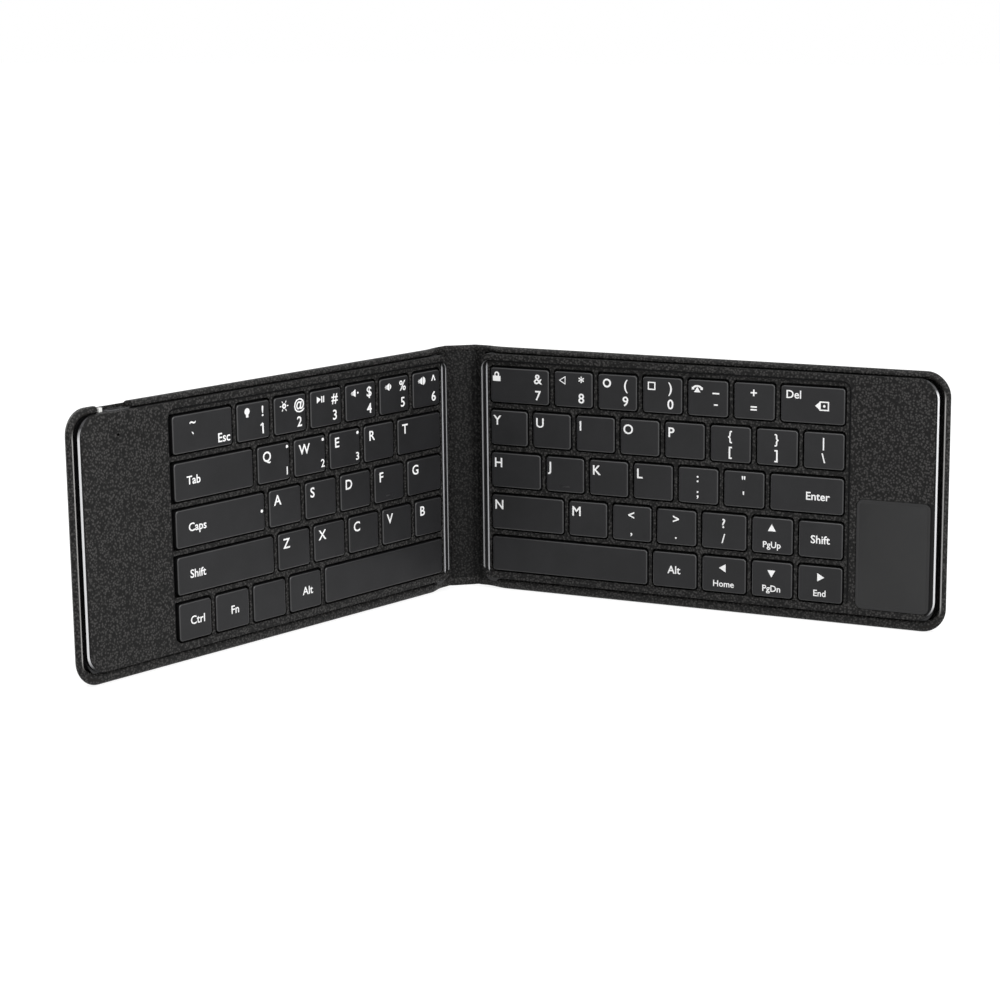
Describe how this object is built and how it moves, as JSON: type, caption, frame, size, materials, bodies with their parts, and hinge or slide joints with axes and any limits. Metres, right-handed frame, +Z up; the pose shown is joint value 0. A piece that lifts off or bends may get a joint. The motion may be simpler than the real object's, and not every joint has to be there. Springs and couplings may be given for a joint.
{
  "type": "folding keyboard",
  "caption": "Folding wireless keyboard: two thin leather-covered halves joined by a leather spine, with a touchpad beside the keys; it folds shut like a book.",
  "frame": {"origin": "centre of the standing keyboard's bounding box, at the standing edge", "axes": "+X along the right half from the spine to its outer edge, +Y towards the back of the right half, +Z up from the standing edge to the number row"},
  "size_m": [0.2328, 0.1804, 0.089],
  "materials": {
    "cover_leather": "fine pebbled grain, satin",
    "panel_leather": "fine pebbled grain, satin",
    "frame_plastic": "polished edges",
    "tray_plastic": "fine moulded texture",
    "key_plastic": "fine matt texture",
    "plate_steel": "plain",
    "membrane_film": "clear film",
    "dome_rubber": "soft",
    "scissor_plastic": "plain",
    "magnet_metal": "plated",
    "screw_metal": "plated",
    "touchpad_surface": "smooth satin",
    "circuit_board": "solder mask",
    "battery_pouch": "foil",
    "port_steel": "plated",
    "switch_plastic": "smooth",
    "light_pipe": "clear",
    "stiffener_board": "plain",
    "ribbon_film": "film"
  },
  "bodies": {
    "right_half": {"right_cover": "cover_leather", "right_tray": "tray_plastic", "right_frame": "frame_plastic", "right_skin": "panel_leather", "right_key_web": "panel_leather", "right_plate": "plate_steel", "right_membrane": "membrane_film", "right_domes": "dome_rubber", "right_scissors": "scissor_plastic", "right_magnets": "magnet_metal", "right_screws": "screw_metal", "touchpad": "touchpad_surface", "touchpad_board": "circuit_board"},
    "spine": {"spine_cover": "cover_leather", "spine_lining": "cover_leather", "spine_stiffener": "stiffener_board", "ribbon_cable": "ribbon_film"},
    "left_half": {"left_cover": "cover_leather", "left_tray": "tray_plastic", "left_frame": "frame_plastic", "left_skin": "panel_leather", "left_key_web": "panel_leather", "left_plate": "plate_steel", "left_membrane": "membrane_film", "left_domes": "dome_rubber", "left_scissors": "scissor_plastic", "left_magnets": "magnet_metal", "left_screws": "screw_metal", "main_board": "circuit_board", "battery": "battery_pouch", "usb_port": "port_steel", "status_light": "light_pipe"},
    "power_switch": {"power_switch": "switch_plastic"},
    "escape_key": {"escape_key": "key_plastic"},
    "number_keys_left": {"number_keys_left": "key_plastic"},
    "tab_key": {"tab_key": "key_plastic"},
    "top_letter_keys_left": {"top_letter_keys_left": "key_plastic"},
    "caps_key": {"caps_key": "key_plastic"},
    "home_letter_keys_left": {"home_letter_keys_left": "key_plastic"},
    "left_shift_key": {"left_shift_key": "key_plastic"},
    "bottom_letter_keys_left": {"bottom_letter_keys_left": "key_plastic"},
    "control_key": {"control_key": "key_plastic"},
    "function_key": {"function_key": "key_plastic"},
    "system_key": {"system_key": "key_plastic"},
    "left_alt_key": {"left_alt_key": "key_plastic"},
    "left_space_key": {"left_space_key": "key_plastic"},
    "number_keys_right": {"number_keys_right": "key_plastic"},
    "backspace_key": {"backspace_key": "key_plastic"},
    "top_letter_keys_right": {"top_letter_keys_right": "key_plastic"},
    "home_letter_keys_right": {"home_letter_keys_right": "key_plastic"},
    "enter_key": {"enter_key": "key_plastic"},
    "bottom_letter_keys_right": {"bottom_letter_keys_right": "key_plastic"},
    "up_key": {"up_key": "key_plastic"},
    "right_shift_key": {"right_shift_key": "key_plastic"},
    "right_space_key": {"right_space_key": "key_plastic"},
    "right_alt_key": {"right_alt_key": "key_plastic"},
    "left_arrow_key": {"left_arrow_key": "key_plastic"},
    "down_key": {"down_key": "key_plastic"},
    "right_arrow_key": {"right_arrow_key": "key_plastic"}
  },
  "joints": [
    {"name": "right_crease_fold", "type": "hinge", "parent": "right_half", "child": "spine", "pos_m": [-0.06131, 0.08978, 0], "axis": [0, 0, 1], "range_deg": [-37.5, 52.5], "deforming": ["spine_lining", "ribbon_cable"]},
    {"name": "left_crease_fold", "type": "hinge", "parent": "spine", "child": "left_half", "pos_m": [-0.07083, 0.08248, 0], "axis": [0, 0, 1], "range_deg": [-37.5, 52.5], "deforming": ["spine_lining", "ribbon_cable"]},
    {"name": "power_switch_slide", "type": "slide", "parent": "left_half", "child": "power_switch", "axis": [-0.2588, -0.9659, 0], "range_m": [0, 0.0015]},
    {"name": "escape_key_press", "type": "slide", "parent": "left_half", "child": "escape_key", "axis": [-0.9659, 0.2588, 0], "range_m": [0, 0.001], "stiffness_N_per_m": 300, "springref_m": -0.0005, "deforming": ["left_domes", "left_scissors"]},
    {"name": "number_keys_left_press", "type": "slide", "parent": "left_half", "child": "number_keys_left", "axis": [-0.9659, 0.2588, 0], "range_m": [0, 0.001], "stiffness_N_per_m": 300, "springref_m": -0.0005, "deforming": ["left_domes", "left_scissors"]},
    {"name": "tab_key_press", "type": "slide", "parent": "left_half", "child": "tab_key", "axis": [-0.9659, 0.2588, 0], "range_m": [0, 0.001], "stiffness_N_per_m": 300, "springref_m": -0.0005, "deforming": ["left_domes", "left_scissors"]},
    {"name": "top_letter_keys_left_press", "type": "slide", "parent": "left_half", "child": "top_letter_keys_left", "axis": [-0.9659, 0.2588, 0], "range_m": [0, 0.001], "stiffness_N_per_m": 300, "springref_m": -0.0005, "deforming": ["left_domes", "left_scissors"]},
    {"name": "caps_key_press", "type": "slide", "parent": "left_half", "child": "caps_key", "axis": [-0.9659, 0.2588, 0], "range_m": [0, 0.001], "stiffness_N_per_m": 300, "springref_m": -0.0005, "deforming": ["left_domes", "left_scissors"]},
    {"name": "home_letter_keys_left_press", "type": "slide", "parent": "left_half", "child": "home_letter_keys_left", "axis": [-0.9659, 0.2588, 0], "range_m": [0, 0.001], "stiffness_N_per_m": 300, "springref_m": -0.0005, "deforming": ["left_domes", "left_scissors"]},
    {"name": "left_shift_key_press", "type": "slide", "parent": "left_half", "child": "left_shift_key", "axis": [-0.9659, 0.2588, 0], "range_m": [0, 0.001], "stiffness_N_per_m": 300, "springref_m": -0.0005, "deforming": ["left_domes", "left_scissors"]},
    {"name": "bottom_letter_keys_left_press", "type": "slide", "parent": "left_half", "child": "bottom_letter_keys_left", "axis": [-0.9659, 0.2588, 0], "range_m": [0, 0.001], "stiffness_N_per_m": 300, "springref_m": -0.0005, "deforming": ["left_domes", "left_scissors"]},
    {"name": "control_key_press", "type": "slide", "parent": "left_half", "child": "control_key", "axis": [-0.9659, 0.2588, 0], "range_m": [0, 0.001], "stiffness_N_per_m": 300, "springref_m": -0.0005, "deforming": ["left_domes", "left_scissors"]},
    {"name": "function_key_press", "type": "slide", "parent": "left_half", "child": "function_key", "axis": [-0.9659, 0.2588, 0], "range_m": [0, 0.001], "stiffness_N_per_m": 300, "springref_m": -0.0005, "deforming": ["left_domes", "left_scissors"]},
    {"name": "system_key_press", "type": "slide", "parent": "left_half", "child": "system_key", "axis": [-0.9659, 0.2588, 0], "range_m": [0, 0.001], "stiffness_N_per_m": 300, "springref_m": -0.0005, "deforming": ["left_domes", "left_scissors"]},
    {"name": "left_alt_key_press", "type": "slide", "parent": "left_half", "child": "left_alt_key", "axis": [-0.9659, 0.2588, 0], "range_m": [0, 0.001], "stiffness_N_per_m": 300, "springref_m": -0.0005, "deforming": ["left_domes", "left_scissors"]},
    {"name": "left_space_key_press", "type": "slide", "parent": "left_half", "child": "left_space_key", "axis": [-0.9659, 0.2588, 0], "range_m": [0, 0.001], "stiffness_N_per_m": 300, "springref_m": -0.0005, "deforming": ["left_domes", "left_scissors"]},
    {"name": "number_keys_right_press", "type": "slide", "parent": "right_half", "child": "number_keys_right", "axis": [0, 1, 0], "range_m": [0, 0.001], "stiffness_N_per_m": 300, "springref_m": -0.0005, "deforming": ["right_domes", "right_scissors"]},
    {"name": "backspace_key_press", "type": "slide", "parent": "right_half", "child": "backspace_key", "axis": [0, 1, 0], "range_m": [0, 0.001], "stiffness_N_per_m": 300, "springref_m": -0.0005, "deforming": ["right_domes", "right_scissors"]},
    {"name": "top_letter_keys_right_press", "type": "slide", "parent": "right_half", "child": "top_letter_keys_right", "axis": [0, 1, 0], "range_m": [0, 0.001], "stiffness_N_per_m": 300, "springref_m": -0.0005, "deforming": ["right_domes", "right_scissors"]},
    {"name": "home_letter_keys_right_press", "type": "slide", "parent": "right_half", "child": "home_letter_keys_right", "axis": [0, 1, 0], "range_m": [0, 0.001], "stiffness_N_per_m": 300, "springref_m": -0.0005, "deforming": ["right_domes", "right_scissors"]},
    {"name": "enter_key_press", "type": "slide", "parent": "right_half", "child": "enter_key", "axis": [0, 1, 0], "range_m": [0, 0.001], "stiffness_N_per_m": 300, "springref_m": -0.0005, "deforming": ["right_domes", "right_scissors"]},
    {"name": "bottom_letter_keys_right_press", "type": "slide", "parent": "right_half", "child": "bottom_letter_keys_right", "axis": [0, 1, 0], "range_m": [0, 0.001], "stiffness_N_per_m": 300, "springref_m": -0.0005, "deforming": ["right_domes", "right_scissors"]},
    {"name": "up_key_press", "type": "slide", "parent": "right_half", "child": "up_key", "axis": [0, 1, 0], "range_m": [0, 0.001], "stiffness_N_per_m": 300, "springref_m": -0.0005, "deforming": ["right_domes", "right_scissors"]},
    {"name": "right_shift_key_press", "type": "slide", "parent": "right_half", "child": "right_shift_key", "axis": [0, 1, 0], "range_m": [0, 0.001], "stiffness_N_per_m": 300, "springref_m": -0.0005, "deforming": ["right_domes", "right_scissors"]},
    {"name": "right_space_key_press", "type": "slide", "parent": "right_half", "child": "right_space_key", "axis": [0, 1, 0], "range_m": [0, 0.001], "stiffness_N_per_m": 300, "springref_m": -0.0005, "deforming": ["right_domes", "right_scissors"]},
    {"name": "right_alt_key_press", "type": "slide", "parent": "right_half", "child": "right_alt_key", "axis": [0, 1, 0], "range_m": [0, 0.001], "stiffness_N_per_m": 300, "springref_m": -0.0005, "deforming": ["right_domes", "right_scissors"]},
    {"name": "left_arrow_key_press", "type": "slide", "parent": "right_half", "child": "left_arrow_key", "axis": [0, 1, 0], "range_m": [0, 0.001], "stiffness_N_per_m": 300, "springref_m": -0.0005, "deforming": ["right_domes", "right_scissors"]},
    {"name": "down_key_press", "type": "slide", "parent": "right_half", "child": "down_key", "axis": [0, 1, 0], "range_m": [0, 0.001], "stiffness_N_per_m": 300, "springref_m": -0.0005, "deforming": ["right_domes", "right_scissors"]},
    {"name": "right_arrow_key_press", "type": "slide", "parent": "right_half", "child": "right_arrow_key", "axis": [0, 1, 0], "range_m": [0, 0.001], "stiffness_N_per_m": 300, "springref_m": -0.0005, "deforming": ["right_domes", "right_scissors"]}
  ],
  "couplings": [
    {"joint": "left_crease_fold", "follows": "right_crease_fold", "ratio": 1}
  ]
}
